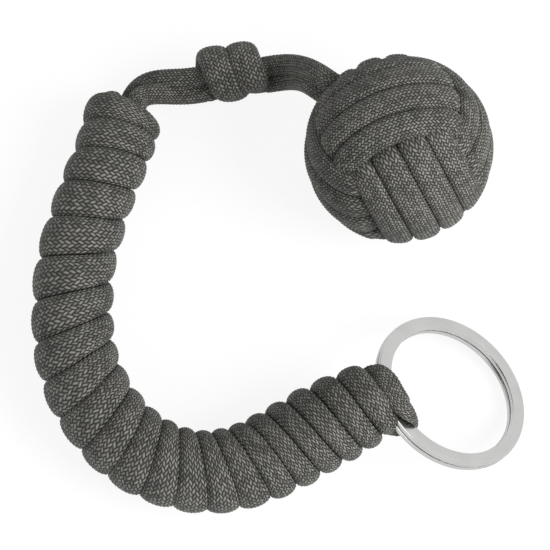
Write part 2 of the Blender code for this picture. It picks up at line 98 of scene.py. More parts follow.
def throughPoints(points):  # a smooth path through chosen points
    ends = np.vstack([2 * points[0] - points[1], points, 2 * points[-1] - points[-2]])
    t = np.arange(pathSteps)[:, None] / pathSteps
    runs = []
    for before, here, there, after in zip(ends, ends[1:], ends[2:], ends[3:]):
        bend = 2 * before - 5 * here + 4 * there - after
        back = 3 * here - before - 3 * there + after
        runs.append((2 * here + (there - before) * t + bend * t ** 2 + back * t ** 3) / 2)
    return np.vstack(runs + [points[-1:]])


def bezier(start, startPull, endPull, end, count):
    t = np.linspace(0, 1, count)[:, None]
    return (start * (1 - t) ** 3 + startPull * 3 * t * (1 - t) ** 2
            + endPull * 3 * t * t * (1 - t) + end * t ** 3)


def lengthAlong(points):
    return np.concatenate([[0], np.cumsum(np.linalg.norm(np.diff(points, axis=0), axis=1))])


def resample(vectors, reached, wanted):  # the vectors at the wanted lengths along their path
    return np.stack([np.interp(wanted, reached, vectors[:, k]) for k in range(3)], axis=1)


# cord

cord = {
    "diameter": 3.7 * mm,
    "laidThickness": 3.1 * mm,     # pressed flat where it is wound
    "braidColumns": 24,            # herringbone columns round the sheath
    "braidCell": 0.7 * mm,         # one float of yarn along the cord
    "braidRelief": 0.1 * mm,
    "boxiness": 2.3,               # 2 is an ellipse, more is squarer
    "roundedEnd": 0.45,            # of the thickness, where the cord ends
    "tipArea": 0.12,               # of its section is left at the very end
    "flatBelow": 0.35 * mm,        # this much over the table it is pressed flat
}
plainRound = 2.0                   # the boxiness of a round cord
braidStart = 0.25                  # of a cell, so that corners fall on crowns and in gaps


def braidHeight(u, v):  # the herringbone that the material draws: u once round, v in cells
    column = u * cord["braidColumns"] + braidStart
    rising, falling = column + v, column - v
    risingYarn, fallingYarn = np.floor(rising), np.floor(falling)
    risingOnTop = np.mod(risingYarn + fallingYarn, 4) < 1.5
    along = np.where(risingOnTop, np.mod(risingYarn + falling, 4) / 2,
                     np.mod(fallingYarn + rising, 4) / 2 - 1)
    across = np.where(risingOnTop, rising - risingYarn, falling - fallingYarn)
    return 4 * np.sqrt(np.clip(along * (1 - along) * across * (1 - across), 0, 1))


def evenSection(count, width, thickness, boxiness):  # points spaced evenly round a squarish oval
    angle = np.linspace(-math.pi / 2, 1.5 * math.pi, 4001)
    power = 2 / boxiness
    side = np.sign(np.cos(angle)) * np.abs(np.cos(angle)) ** power
    out = np.sign(np.sin(angle)) * np.abs(np.sin(angle)) ** power
    reached = lengthAlong(np.stack([side * width / 2, out * thickness / 2], axis=1))
    wanted = np.linspace(0, reached[-1], count + 1)
    return np.interp(wanted, reached, side), np.interp(wanted, reached, out)


def rolledGrid(name, around, stations, mapName):  # a flat grid, and each vertex's column and row
    shape = bmesh.new()
    bmesh.ops.create_grid(shape, x_segments=around, y_segments=stations - 1, size=0.5)
    mesh = bpy.data.meshes.new(name)
    shape.to_mesh(mesh)
    shape.free()
    mesh.uv_layers.new(name=mapName)
    flat = np.empty(len(mesh.vertices) * 3)
    mesh.vertices.foreach_get("co", flat)
    column = np.rint((flat[0::3] + 0.5) * around).astype(int)
    row = np.rint((flat[1::3] + 0.5) * (stations - 1)).astype(int)
    return mesh, column, row


def closeTube(mesh, place, u, v):  # rolls the grid up, sews its seam and closes its ends
    mesh.vertices.foreach_set("co", place.ravel())
    corner = np.empty(len(mesh.loops), int)
    mesh.loops.foreach_get("vertex_index", corner)
    corners = np.stack([u[corner], v[corner]], axis=1)
    mesh.uv_layers[0].data.foreach_set("uv", corners.ravel())
    shape = bmesh.new()
    shape.from_mesh(mesh)
    bmesh.ops.remove_doubles(shape, verts=shape.verts, dist=1e-7)
    bmesh.ops.holes_fill(shape, edges=shape.edges, sides=0)
    bmesh.ops.recalc_face_normals(shape, faces=shape.faces)
    shape.to_mesh(mesh)
    shape.free()
    mesh.shade_smooth()
    made = bpy.data.objects.new(mesh.name, mesh)
    bpy.context.scene.collection.objects.link(made)
    return made


def braidedTube(name, centres, outward, widths, thickness, boxiness=cord["boxiness"],
                cell=cord["braidCell"], relief=cord["braidRelief"], firstCell=0,
                rounded=(True, True), flatUnder=False):
    # one closed tube of cord along its centres, evenly stepped so that the braid lies true
    reached = lengthAlong(centres)
    length = reached[-1]
    perCell = 2 if fullDetail else 1
    around = cord["braidColumns"] * perCell
    stations = max(2, round(length / cell)) * perCell + 1
    wanted = np.linspace(0, length, stations)
    middle = resample(centres, reached, wanted)
    width, thick = (np.interp(wanted, reached, np.broadcast_to(each, len(centres)))
                    for each in (widths, thickness))
    along = unit(np.gradient(middle, axis=0))
    hints = np.broadcast_to(outward, centres.shape)
    facing = squareTo(along, resample(hints, reached, wanted))
    sideways = np.cross(along, facing)
    side, out = evenSection(around, width.mean(), thick.mean(), boxiness)
    lift = unit(np.stack([np.sign(side) * np.abs(side) ** (boxiness - 1) / width.mean(),
                          np.sign(out) * np.abs(out) ** (boxiness - 1) / thick.mean()], axis=1))
    mesh, column, row = rolledGrid(name, around, stations, "braid")
    u, v = column / around, row / perCell + braidStart + firstCell
    rise = (braidHeight(u, v) - 0.5) * relief * fullDetail
    fromStart = wanted if rounded[0] else np.full(stations, length)
    fromEnd = length - wanted if rounded[1] else np.full(stations, length)
    fromTip = np.minimum(fromStart, fromEnd)[row] / (cord["roundedEnd"] * thick[row])
    pull = np.sqrt(np.clip(1 - (1 - np.clip(fromTip, 0, 1)) ** 2, cord["tipArea"], 1))
    place = (middle[row]
             + sideways[row] * (side[column] * width[row] / 2 * pull
                                + lift[column, 0] * rise)[:, None]
             + facing[row] * (out[column] * thick[row] / 2 * pull
                              + lift[column, 1] * rise)[:, None])
    if flatUnder:  # it stands on the table, pressed flat there
        height = place[:, 2] / cord["flatBelow"]
        pressed = cord["flatBelow"] * np.exp(np.minimum(height - 1, 0))
        place[:, 2] = np.where(height < 1, pressed, place[:, 2])
    return closeTube(mesh, place, u, v)


# materials

def toLinear(hexColour):
    parts = [int(hexColour[k:k + 2], 16) / 255 for k in (1, 3, 5)]
    return [c / 12.92 if c <= 0.04045 else ((c + 0.055) / 1.055) ** 2.4 for c in parts] + [1]


def addNode(tree, kind, links=None, **settings):
    # a node, its settings, and its inputs by name or number
    made = tree.nodes.new(kind)
    for key, value in settings.items():
        setattr(made, key, value)
    for key, value in (links or {}).items():
        if isinstance(value, bpy.types.NodeSocket):
            tree.links.new(value, made.inputs[key])
        else:
            made.inputs[key].default_value = value
    return made


def newMaterial(name):
    made = bpy.data.materials.new(name)
    made.use_nodes = True
    made.node_tree.nodes.clear()
    return made, made.node_tree


cordLook = {
    # painted shade, nearly black in the gaps between floats, up to a painted highlight on their
    # crowns
    "gapShadeToCrownHighlight": ((0.0, "#050504"), (0.3, "#181816"), (0.6, "#3e3d39"), (1.0, "#72716b")),
    "roughness": 0.6,
    "gloss": 0.3,
    "sheen": 0.02,
    "domePower": 0.6,              # less is a fuller float with a narrower gap
    "filamentDepth": 0.04,         # of a float's height
    "yarnVariation": 0.24,         # from one float to the next
    "patchVariation": 0.35,
    "patchScale": 130.0,           # paler and darker patches, 8 mm across
    "wobble": 0.9,                 # of a cell, where the sheath is creased
    "creaseScale": 420.0,          # a crease every 2.4 mm
    "bumpHeight": 0.2 * mm,
}


def braidedNylon():
    # the sheath of parachute cord, dyed grey-green nylon braided in a herringbone: satin floats
    # of yarn 0.4 x 0.9 mm, with a painted highlight on their crowns and painted shade in the
    # gaps, and no two quite alike
    material, tree = newMaterial("braided nylon sheath")
    where = addNode(tree, "ShaderNodeTexCoord").outputs["Object"]
    creases = addNode(tree, "ShaderNodeTexNoise", {
        "Vector": where, "Scale": cordLook["creaseScale"], "Detail": 1.0}).outputs["Fac"]
    uv = addNode(tree, "ShaderNodeUVMap", uv_map="braid").outputs[0]
    split = addNode(tree, "ShaderNodeSeparateXYZ", {0: uv})
    known = {"u": split.outputs[0], "v": split.outputs[1], "creases": creases}
    wobble = cordLook["wobble"]
    sums = [
        ("shift", "MULTIPLY_ADD", "creases", wobble, braidStart - wobble / 2),
        ("column", "MULTIPLY_ADD", "u", float(cord["braidColumns"]), "shift"),
        ("rising", "ADD", "column", "v"),
        ("falling", "SUBTRACT", "column", "v"),
        ("risingYarn", "FLOOR", "rising"),
        ("fallingYarn", "FLOOR", "falling"),
        ("crossing", "ADD", "risingYarn", "fallingYarn"),
        ("turn", "FLOORED_MODULO", "crossing", 4.0),
        ("risingOnTop", "LESS_THAN", "turn", 1.5),
        ("risingRun", "ADD", "risingYarn", "falling"),
        ("fallingRun", "ADD", "fallingYarn", "rising"),
        ("risingPart", "FLOORED_MODULO", "risingRun", 4.0),
        ("fallingPart", "FLOORED_MODULO", "fallingRun", 4.0),
        ("risingAlong", "MULTIPLY", "risingPart", 0.5),
        ("fallingAlong", "MULTIPLY_ADD", "fallingPart", 0.5, -1.0),
        ("risingAcross", "SUBTRACT", "rising", "risingYarn"),
        ("fallingAcross", "SUBTRACT", "falling", "fallingYarn"),
        ("risingCount", "MULTIPLY", "risingRun", 0.25),
        ("fallingCount", "MULTIPLY", "fallingRun", 0.25),
        ("risingFloat", "FLOOR", "risingCount"),
        ("fallingFloat", "FLOOR", "fallingCount"),
    ]
    for part in ("Along", "Across", "Float", "Yarn"):  # of whichever yarn lies on top
        sums += [
            ("step" + part, "SUBTRACT", "rising" + part, "falling" + part),
            ("top" + part, "MULTIPLY_ADD", "step" + part, "risingOnTop", "falling" + part),
        ]
    sums += [
        ("restAlong", "SUBTRACT", 1.0, "topAlong"),
        ("restAcross", "SUBTRACT", 1.0, "topAcross"),
        ("domeAlong", "MULTIPLY", "topAlong", "restAlong"),
        ("domeAcross", "MULTIPLY", "topAcross", "restAcross"),
        ("dome", "MULTIPLY", "domeAlong", "domeAcross"),
        ("fullDome", "MULTIPLY", "dome", 16.0),
        ("height", "POWER", "fullDome", cordLook["domePower"]),
        ("filaments", "MULTIPLY", "topAcross", 31.4),  # five across a float, coarser than real
        ("ripple", "SINE", "filaments"),
        ("relief", "MULTIPLY_ADD", "ripple", cordLook["filamentDepth"], "height"),
    ]
    for name, operation, *terms in sums:
        inputs = {k: known[term] if isinstance(term, str) else term
                  for k, term in enumerate(terms)}
        known[name] = addNode(tree, "ShaderNodeMath", inputs, operation=operation).outputs[0]

    which = addNode(tree, "ShaderNodeCombineXYZ", {
        0: known["topYarn"], 1: known["topFloat"], 2: known["risingOnTop"]}).outputs[0]
    chance = addNode(tree, "ShaderNodeTexWhiteNoise", {"Vector": which},
                     noise_dimensions="3D").outputs["Value"]
    patches = addNode(tree, "ShaderNodeTexNoise", {
        "Vector": where, "Scale": cordLook["patchScale"], "Detail": 3.0}).outputs["Fac"]
    yarn, patch = cordLook["yarnVariation"], cordLook["patchVariation"]
    spread = addNode(tree, "ShaderNodeMath", {0: chance, 1: 2 * yarn, 2: 1 - yarn},
                     operation="MULTIPLY_ADD").outputs[0]
    wander = addNode(tree, "ShaderNodeMath", {0: patches, 1: patch, 2: -patch / 2},
                     operation="MULTIPLY_ADD").outputs[0]
    # the float's height paints shade into its gaps and a highlight onto its crown, made paler or
    # darker at random from float to float, with paler and darker patches added
    paintedLightAndTone = addNode(tree, "ShaderNodeMath", {0: known["height"], 1: spread, 2: wander},
                    operation="MULTIPLY_ADD").outputs[0]
    ramp = addNode(tree, "ShaderNodeValToRGB", {0: paintedLightAndTone})
    while len(ramp.color_ramp.elements) < len(cordLook["gapShadeToCrownHighlight"]):
        ramp.color_ramp.elements.new(0.5)
    for element, (position, colour) in zip(ramp.color_ramp.elements, cordLook["gapShadeToCrownHighlight"]):
        element.position, element.color = position, toLinear(colour)
    bump = addNode(tree, "ShaderNodeBump", {
        "Height": known["relief"], "Distance": cordLook["bumpHeight"],
        "Strength": 0.9}).outputs[0]
    shader = addNode(tree, "ShaderNodeBsdfPrincipled", {
        "Base Color": ramp.outputs[0], "Roughness": cordLook["roughness"], "IOR": 1.53,
        "Specular IOR Level": cordLook["gloss"], "Sheen Weight": cordLook["sheen"],
        "Sheen Roughness": 0.4, "Normal": bump}).outputs[0]
    addNode(tree, "ShaderNodeOutputMaterial", {0: shader})
    return material


ringLook = {
    "nickel": "#cdcdcc",
    "nickelDull": "#bbbbba",
    "roughness": (0.15, 0.32),
    "cloudScale": 220.0,           # duller clouds, 4.5 mm across
    "scratches": (0.09, 7.0, 1.0),  # along, round: each 11 mm long and 0.14 mm wide
    "scratchDepth": 0.03 * mm,
}


def satinNickel():
    # nickel plate over spring steel, tumbled: a grey-white metal with fine scratches that run
    # along the wire, drawn coarser than the real ones, and soft bright edges
    material, tree = newMaterial("satin nickel plate")
    uv = addNode(tree, "ShaderNodeUVMap", uv_map="wire").outputs[0]
    stretched = addNode(tree, "ShaderNodeMapping", {
        "Vector": uv, "Scale": ringLook["scratches"]}).outputs[0]
    scratches = addNode(tree, "ShaderNodeTexNoise", {
        "Vector": stretched, "Scale": 1.0, "Detail": 6.0, "Roughness": 0.7}).outputs["Fac"]
    where = addNode(tree, "ShaderNodeTexCoord").outputs["Object"]
    clouds = addNode(tree, "ShaderNodeTexNoise", {
        "Vector": where, "Scale": ringLook["cloudScale"], "Detail": 2.0}).outputs["Fac"]
    colour = addNode(tree, "ShaderNodeMix", {
        0: clouds, 6: toLinear(ringLook["nickel"]), 7: toLinear(ringLook["nickelDull"])},
        data_type="RGBA").outputs[2]
    smoothest, roughest = ringLook["roughness"]
    rough = addNode(tree, "ShaderNodeMapRange", {
        0: scratches, 1: 0.3, 2: 0.7, 3: smoothest, 4: roughest}).outputs[0]
    bump = addNode(tree, "ShaderNodeBump", {
        "Height": scratches, "Distance": ringLook["scratchDepth"], "Strength": 0.6}).outputs[0]
    shader = addNode(tree, "ShaderNodeBsdfPrincipled", {
        "Base Color": colour, "Metallic": 1.0, "Roughness": rough, "Normal": bump}).outputs[0]
    addNode(tree, "ShaderNodeOutputMaterial", {0: shader})
    return material


ballLook = {
    "steel": "#b2b3b4",
    "steelDull": "#a2a3a5",
    "roughness": (0.14, 0.3),
    "markScale": 900.0,            # swirl marks of 1.1 mm, down to 0.1 mm in their detail
}


def groundSteel():
    # chrome bearing steel, ground and polished: a bright grey with faint swirl marks
    material, tree = newMaterial("ground bearing steel")
    where = addNode(tree, "ShaderNodeTexCoord").outputs["Object"]
    marks = addNode(tree, "ShaderNodeTexNoise", {
        "Vector": where, "Scale": ballLook["markScale"], "Detail": 4.0}).outputs["Fac"]
    smoothest, roughest = ballLook["roughness"]
    rough = addNode(tree, "ShaderNodeMapRange", {0: marks, 3: smoothest, 4: roughest}).outputs[0]
    colour = addNode(tree, "ShaderNodeMix", {
        0: marks, 6: toLinear(ballLook["steel"]), 7: toLinear(ballLook["steelDull"])},
        data_type="RGBA").outputs[2]
    shader = addNode(tree, "ShaderNodeBsdfPrincipled", {
        "Base Color": colour, "Metallic": 1.0, "Roughness": rough}).outputs[0]
    addNode(tree, "ShaderNodeOutputMaterial", {0: shader})
    return material


nylon, nickel, steel = braidedNylon(), satinNickel(), groundSteel()
print("materials made")


def dress(piece, material, slot, body, *nodes):
    piece.data.materials.clear()
    piece.data.materials.append(material)
    if body:
        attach(piece, body)
    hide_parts(*nodes)


# handle

handle = {
    # the middle of the handle from the knot's end to the ring's, with its rise there, in mm
    "route": [(-28.95, 34.25, 0.0), (-31.3, 23.95, 0.0), (-34.95, 12.45, 0.0),
              (-37.25, -0.55, 0.0), (-36.5, -15.15, 0.0), (-31.1, -27.65, 0.0),
              (-20.75, -36.45, 0.0), (-8.85, -38.0, 0.0), (1.7, -33.85, 0.7),
              (8.95, -30.05, 2.6), (15.85, -27.35, 5.1)],
    "middleHeight": 7.268 * mm,
    "turns": 22.375,               # the last one goes on beside the ring's wire
    "startAngle": math.radians(150),
    # rows of a turn and its value there in mm: its place along the handle, how far it runs
    # ahead on the outer side and behind underneath, the radius inside it, and its thickness
    "places": [(0, 1.6), (0.583, 2.8), (2.583, 14.95), (4.583, 30.15), (6.583, 45.35),
               (8.583, 58.35), (10.583, 70.4), (12.583, 79.9), (15.583, 91.9),
               (18.583, 105.1), (21.583, 119.0), (22.4, 122.2)],
    "lean": [(0, -1.6), (1, -0.9), (2, -0.3), (4, -0.3), (6, 0.3), (8, 0.9), (13, 0.8),
             (18, 1.0), (22.4, 0.5)],
    "slant": [(0, 0.6), (2, 0.8), (4, 2.5), (6, 2.9), (11, 2.8), (13, 1.8), (15, 0.8),
              (22.4, 0.8)],
    "inside": [(0, 4.5), (2.6, 4.3), (5, 4.35), (8, 4.45), (11, 4.5), (14, 4.35), (16.5, 4.4),
               (18.5, 4.5), (20.4, 4.4), (21.4, 4.1), (22.4, 3.3)],
    "thickness": [(0, 3.1), (2, 3.0), (6, 3.1), (10, 3.1), (14, 3.0), (18, 3.4), (20, 3.4),
                  (21.4, 3.1), (22.4, 2.9)],
    # and its width as a share of the pitch, where more is a shallower groove
    "fill": [(0, 1.0), (8, 1.0), (11, 1.08), (15.5, 1.08), (18.5, 1.0), (22.4, 1.0)],
    "unevenness": 0.16 * mm,       # no turn lies quite like the next
    "boxiness": 2.05,
    # the wrap stays under 200,000 triangles
    "braidCell": 0.9 * mm,         # coarser than elsewhere, for fewer triangles in the long wrap
    "tailWidth": 3.4 * mm,
    "hookPulls": (3.0 * mm, 5.0 * mm),
    # the strands under the wrap: how far from the middle, at which angle from the top, and how
    # far in they start and end
    "coreOffset": 2.338 * mm,
    "coreAngles": {"a": math.radians(180), "b": math.radians(-60), "c": math.radians(60)},
    "coreEnds": {"a": (0, 0), "b": (0, 3.0 * mm), "c": (4.05 * mm, 3.0 * mm)},
}
handleHeight = np.array([0, 0, handle["middleHeight"]])
handlePoints = throughPoints(np.array(handle["route"]) * mm + handleHeight)
handleReached = lengthAlong(handlePoints)
handleLength = handleReached[-1]


def handlePlace(distance):
    distance = np.atleast_1d(np.asarray(distance, float))
    inside = np.clip(distance, 0, handleLength)
    startWay = unit(handlePoints[1] - handlePoints[0])
    endWay = unit(handlePoints[-1] - handlePoints[-2])
    past = (distance - inside)[:, None]
    return (resample(handlePoints, handleReached, inside)
            + np.where(past < 0, startWay, endWay) * past)


def handleWay(distance):  # its direction, read over 3 mm
    return unit(handlePlace(distance + 1.5 * mm) - handlePlace(distance - 1.5 * mm))


def onHandle(distance, angle, radius):  # a point round its middle, and the outward direction
    distance = np.atleast_1d(np.asarray(distance, float))
    along = handleWay(distance)
    outerSide = unit(np.cross(along, (0, 0, 1)))
    up = np.cross(outerSide, along)
    angle = np.broadcast_to(angle, distance.shape)[:, None]
    outward = up * np.cos(angle) + outerSide * np.sin(angle)
    return handlePlace(distance) + outward * np.reshape(radius, (-1, 1)), outward


def wrapPlace(turn):
    place, lean, slant, inside, thick = (
        readSmoothly(handle[rows], turn) * mm
        for rows in ("places", "lean", "slant", "inside", "thickness"))
    angle = handle["startAngle"] + 2 * math.pi * turn
    along = place + lean * np.sin(angle) + slant * (np.cos(angle) - 1)
    # slow waves, out of step with the turns
    uneven = handle["unevenness"] * (np.sin(turn * 2.7) + 0.7 * np.sin(turn * 7.3 + 1))
    radius = inside + thick / 2 + 0.5 * handle["unevenness"] * np.sin(turn * 4.1 + 2)
    return (*onHandle(along + uneven, angle, radius), thick)


def handleWrap():
    last = handle["turns"]
    turn = np.linspace(0, last, 5000)
    centres, outward, thick = wrapPlace(turn)
    # each turn fills the room between its neighbours
    sideways = np.cross(unit(np.gradient(centres, axis=0)), outward)
    neighbours = np.clip(turn - 1, 0, None), np.clip(turn + 1, None, last)
    room = [((wrapPlace(other)[0] - centres) * sideways).sum(axis=1) for other in neighbours]
    toBefore = np.where(turn < 1, -room[1], room[0])
    toAfter = np.where(turn > last - 1, -room[0], room[1])
    widths = np.abs(toAfter - toBefore) / 2 * readSmoothly(handle["fill"], turn)
    centres = centres + sideways * ((toAfter + toBefore) / 4)[:, None]
    # its tail hooks over the handle's edge into the core
    angle, tailWidth = handle["coreAngles"]["c"], handle["tailWidth"]
    inner, outInner = onHandle(cord["diameter"], angle, handle["coreOffset"])
    mouth, outMouth = onHandle(0, angle, handle["coreOffset"])
    leaving, arriving = unit(mouth[0] - inner[0]), unit(centres[1] - centres[0])
    outPull, inPull = handle["hookPulls"]
    count = 120
    hook = bezier(mouth[0], mouth[0] + leaving * outPull,
                  centres[0] - arriving * inPull, centres[0], count)[:-1]
    t = np.linspace(0, 1, count)[:-1, None]
    hookOut = outMouth * (1 - t) + outward[0] * t + leaving * np.sin(math.pi * t)
    hookWidths = tailWidth + (widths[0] - tailWidth) * t[:, 0] ** 2
    centres = np.vstack([inner, hook, centres])
    outward = np.vstack([outInner, hookOut, outward])
    widths = np.concatenate([[tailWidth], hookWidths, widths])
    thick = np.concatenate([np.full(count, thick[0]), thick])
    wrap = braidedTube("handle_wrap_cord", centres, outward, widths, thick,
                       handle["boxiness"], handle["braidCell"], flatUnder=True)
    dress(wrap, nylon, "braided_cord", "handle", "handle_wrap")
    return centres, outward, widths


def coreStrands():
    for letter, angle in handle["coreAngles"].items():
        start, setback = handle["coreEnds"][letter]
        distance = np.linspace(start, handleLength - setback, 400)
        centres, outward = onHandle(distance, angle, handle["coreOffset"])
        piece = braidedTube("core_cord_" + letter, centres, outward, cord["diameter"],
                            cord["diameter"], plainRound, relief=0)
        dress(piece, nylon, "braided_cord", "handle", "core_strand_" + letter)


wrapEnd = handleWrap()
coreStrands()
print("handle wound")


# fist

fist = {
    "place": (22.35 * mm, 20.85 * mm),
    "ball": 20.0 * mm,
    "passes": 4,
    "facePitch": 5.05 * mm,
    "divePitch": 3.6 * mm,
    "crowding": (1.03, 1.04),      # the drawn turns touch: times their pitch and thickness
    "boxiness": 2.5,
    "layerGap": 0.65 * mm,
    "ballGap": 0.45 * mm,
    "overrun": math.radians(14),
    "turnShift": 0.1,              # of a turn, in which the cord moves over to the next
    "dive": (math.radians(28), math.radians(45)),     # where it comes up from the next set
    "spreads": (math.radians(14), math.radians(44)),  # and where it takes its full width
    "top": (-0.24, 0.315, 0.914),  # the ways that its top and front sides face
    "front": (0.24, -0.89, 0.378),
    "lean": math.radians(7),       # of the drawn sets towards the camera
    "roll": math.radians(7),       # of the second set, whose turns run down to the right
    "yaw": math.radians(5),        # and lie a little to the right
    "flatDepth": 0.37 * mm,
}
fistInner = fist["ball"] / 2 + fist["ballGap"] + cord["laidThickness"] / 2
fistOuter = fistInner + cord["laidThickness"] + fist["layerGap"]
fistRadius = fistOuter + cord["laidThickness"] / 2
fistCentre = np.array([*fist["place"], fistRadius - fist["flatDepth"]])
fistTop = unit(np.array(fist["top"]))
fistFront = squareTo(fistTop, np.array(fist["front"]))
fistRight = -np.cross(fistFront, fistTop)
neckAxis = unit(fistTop - fistFront - fistRight)


def fistSet(name, node, around, over, under, startAngle):
    # one set of turns about an axis, on the outside where it goes over and inside where under
    turns = np.linspace(0, fist["passes"], 2400)
    angle = startAngle + 2 * math.pi * turns
    fromUnder = np.abs(np.arcsin(np.sin(angle)))
    radius = fistInner + (fistOuter - fistInner) * smoothStep(fromUnder, *fist["dive"])
    spread = smoothStep(fromUnder, *fist["spreads"])
    pitch = fist["divePitch"] + (fist["facePitch"] - fist["divePitch"]) * spread
    whole = np.minimum(np.floor(turns), fist["passes"] - 1)
    into = turns - whole
    shift = smoothStep(into, 0, fist["turnShift"]) + smoothStep(into, 1 - fist["turnShift"], 1)
    number = whole + (shift - 1) / 2
    latitude = (number - (fist["passes"] - 1) / 2) * pitch / radius
    level = under * np.cos(angle)[:, None] + over * np.sin(angle)[:, None]
    outward = level * np.cos(latitude)[:, None] + around * np.sin(latitude)[:, None]
    centres = fistCentre + outward * radius[:, None]
    wider, thicker = fist["crowding"]
    piece = braidedTube(name, centres, outward, pitch * wider, cord["laidThickness"] * thicker,
                        fist["boxiness"], flatUnder=True)
    dress(piece, nylon, "braided_cord", "fist", node)


def tieFist():
    lean = np.array(Matrix.Rotation(fist["lean"], 3, "X"))
    top, front, right = (lean @ way for way in (fistTop, fistFront, fistRight))
    roll = Matrix.Rotation(fist["roll"], 3, Vector(front))
    yaw = Matrix.Rotation(fist["yaw"], 3, Vector(top))
    rolled = [np.array(roll @ yaw) @ way for way in (right, front, top)]
    late, early = math.pi + fist["overrun"], math.pi - fist["overrun"]
    fistSet("fist_cord_front_to_top", "fist_first_turns", front, top, right, late)
    fistSet("fist_cord_side_to_front", "fist_second_turns", *rolled, late)
    fistSet("fist_cord_round_waist", "fist_third_turns", top, right, front, early)


tieFist()
print("fist tied")


# stopper knot, throat and neck

knot = {
    "centre": np.array([-8.35, 40.35, 11.0]) * mm,
    "axis": unit(np.array([0.985, 0.09, 0.14])),
    "length": 13.6 * mm,
    "leadAngle": math.radians(70),
    "pitch": 5.3 * mm,
    "shift": -0.8 * mm,            # of the coil along the axis
    "width": 6.1 * mm,
    "leadWidth": 4.2 * mm,
    "widening": (1.5 * mm, 6 * mm),  # from its ends
    "thickness": 3.7 * mm,
    "boxiness": 2.2,
    "braidCell": 0.62 * mm,
    "through": (3.9 * mm, 3.6 * mm),  # width and thickness of the strand inside
    "exit": (math.radians(205), 3.0 * mm),  # where strand b leaves it, round strand a
    "upperSide": np.array([0, 0.91, 0.41]),  # about the way from strand b to strand a
    "pulls": (2.0 * mm, 2.4 * mm),
}
stubLength = 0.8 * mm              # a strand leaves its neighbour straight for this far
knotUpper = squareTo(knot["axis"], knot["upperSide"])
knotFacing = np.cross(knot["axis"], knotUpper)


def onKnot(along, angle, radius):
    along, angle = np.atleast_1d(along)[:, None], np.atleast_1d(angle)[:, None]
    outward = knotUpper * np.cos(angle) + knotFacing * np.sin(angle)
    return knot["centre"] + knot["axis"] * along + outward * radius, outward


def knotLead(end, first, second, firstOut):  # from the mouth at an end to the coil
    mouth, outward = onKnot(end * knot["length"] / 2, *knot["exit"])
    arriving, inward = unit(second - first), knot["axis"] * -end
    mouthPull, coilPull = knot["pulls"]
    bend = mouth[0] + inward * stubLength
    lead = bezier(bend, bend + inward * mouthPull, first - arriving * coilPull, first, 60)[:-1]
    t = np.linspace(0, 1, len(lead))[:, None]
    return np.vstack([mouth, lead]), np.vstack([outward, outward * (1 - t) + firstOut * t])


def stopperKnot():
    radius = cord["diameter"] / 2 + knot["thickness"] / 2
    lead = knot["leadAngle"]
    angle = np.linspace(math.pi + lead, 5 * math.pi - lead, 700)
    along = knot["pitch"] * (angle - 3 * math.pi) / (2 * math.pi) + knot["shift"]
    coil, coilOut = onKnot(along, angle, radius)
    inLead, inOut = knotLead(-1, coil[0], coil[1], coilOut[0])
    outLead, outOut = knotLead(1, coil[-1], coil[-2], coilOut[-1])
    centres = np.vstack([inLead, coil, outLead[::-1]])
    outward = np.vstack([inOut, coilOut, outOut[::-1]])
    reached = lengthAlong(centres)
    edge = np.minimum(reached, reached[-1] - reached)
    leadWidth = knot["leadWidth"]
    widths = leadWidth + (knot["width"] - leadWidth) * smoothStep(edge, *knot["widening"])
    piece = braidedTube("stopper_knot_cord", centres, outward, widths, knot["thickness"],
                        knot["boxiness"], knot["braidCell"])
    dress(piece, nylon, "braided_cord", "knot", "stopper_knot")
    through, throughOut = onKnot(np.linspace(-0.5, 0.5, 50) * knot["length"], np.zeros(50), 0)
    piece = braidedTube("knot_through_cord", through, throughOut, *knot["through"],
                        knot["boxiness"], rounded=(False, False))
    dress(piece, nylon, "braided_cord", "knot", "knot_through_strand")


neck = {
    "endDepth": 1.8 * mm,          # the strands go in between the fist's turns
    "throatPulls": {"a": (9.0 * mm, 6.0 * mm), "b": (4.2 * mm, 5.5 * mm)},
    "pulls": (5.5 * mm, 5.0 * mm),
    "fistPlaces": {"a": (2.9 * mm, 0.5 * mm), "b": (0.7 * mm, -1.3 * mm)},  # up, to the camera
    "tuck": 2.2 * mm,              # how far a strand runs on, unseen, inside its neighbours
    "overlap": 0.03 * mm,          # of its halves
    "width": 4.1 * mm,
    "thickness": 3.7 * mm,
}


def joined(start, leaving, end, arriving, pulls):
    first, last = start + leaving * stubLength, end - arriving * stubLength
    curve = bezier(first, first + leaving * pulls[0], last - arriving * pulls[1], last, 200)
    return np.vstack([start, curve, end])


def halves(name, node, centres, leaving, arriving):
    # the strand crosses two joints, so it is two pieces that meet in its middle
    reached = lengthAlong(centres)
    length = reached[-1]
    middle = resample(centres, reached, np.array([length / 2]))[0]
    count = 150
    near = resample(centres, reached, np.linspace(0, length / 2, count))
    far = resample(centres, reached, np.linspace(length / 2 - neck["overlap"], length, count))
    runs = (np.vstack([centres[0] - leaving * neck["tuck"], near]),
            np.vstack([far, centres[-1] + arriving * neck["tuck"]]))
    firstCell = 0
    for number, rounded, start, end in ((0, (True, False), centres[0], middle),
                                        (1, (False, True), middle, centres[-1])):
        piece = braidedTube(f"{name}_{number + 1}", runs[number], knotFacing, neck["width"],
                            neck["thickness"], firstCell=firstCell, rounded=rounded)
        firstCell += round(lengthAlong(runs[number])[-1] / cord["braidCell"])
        dress(piece, nylon, "braided_cord", None, node)
        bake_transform(piece)


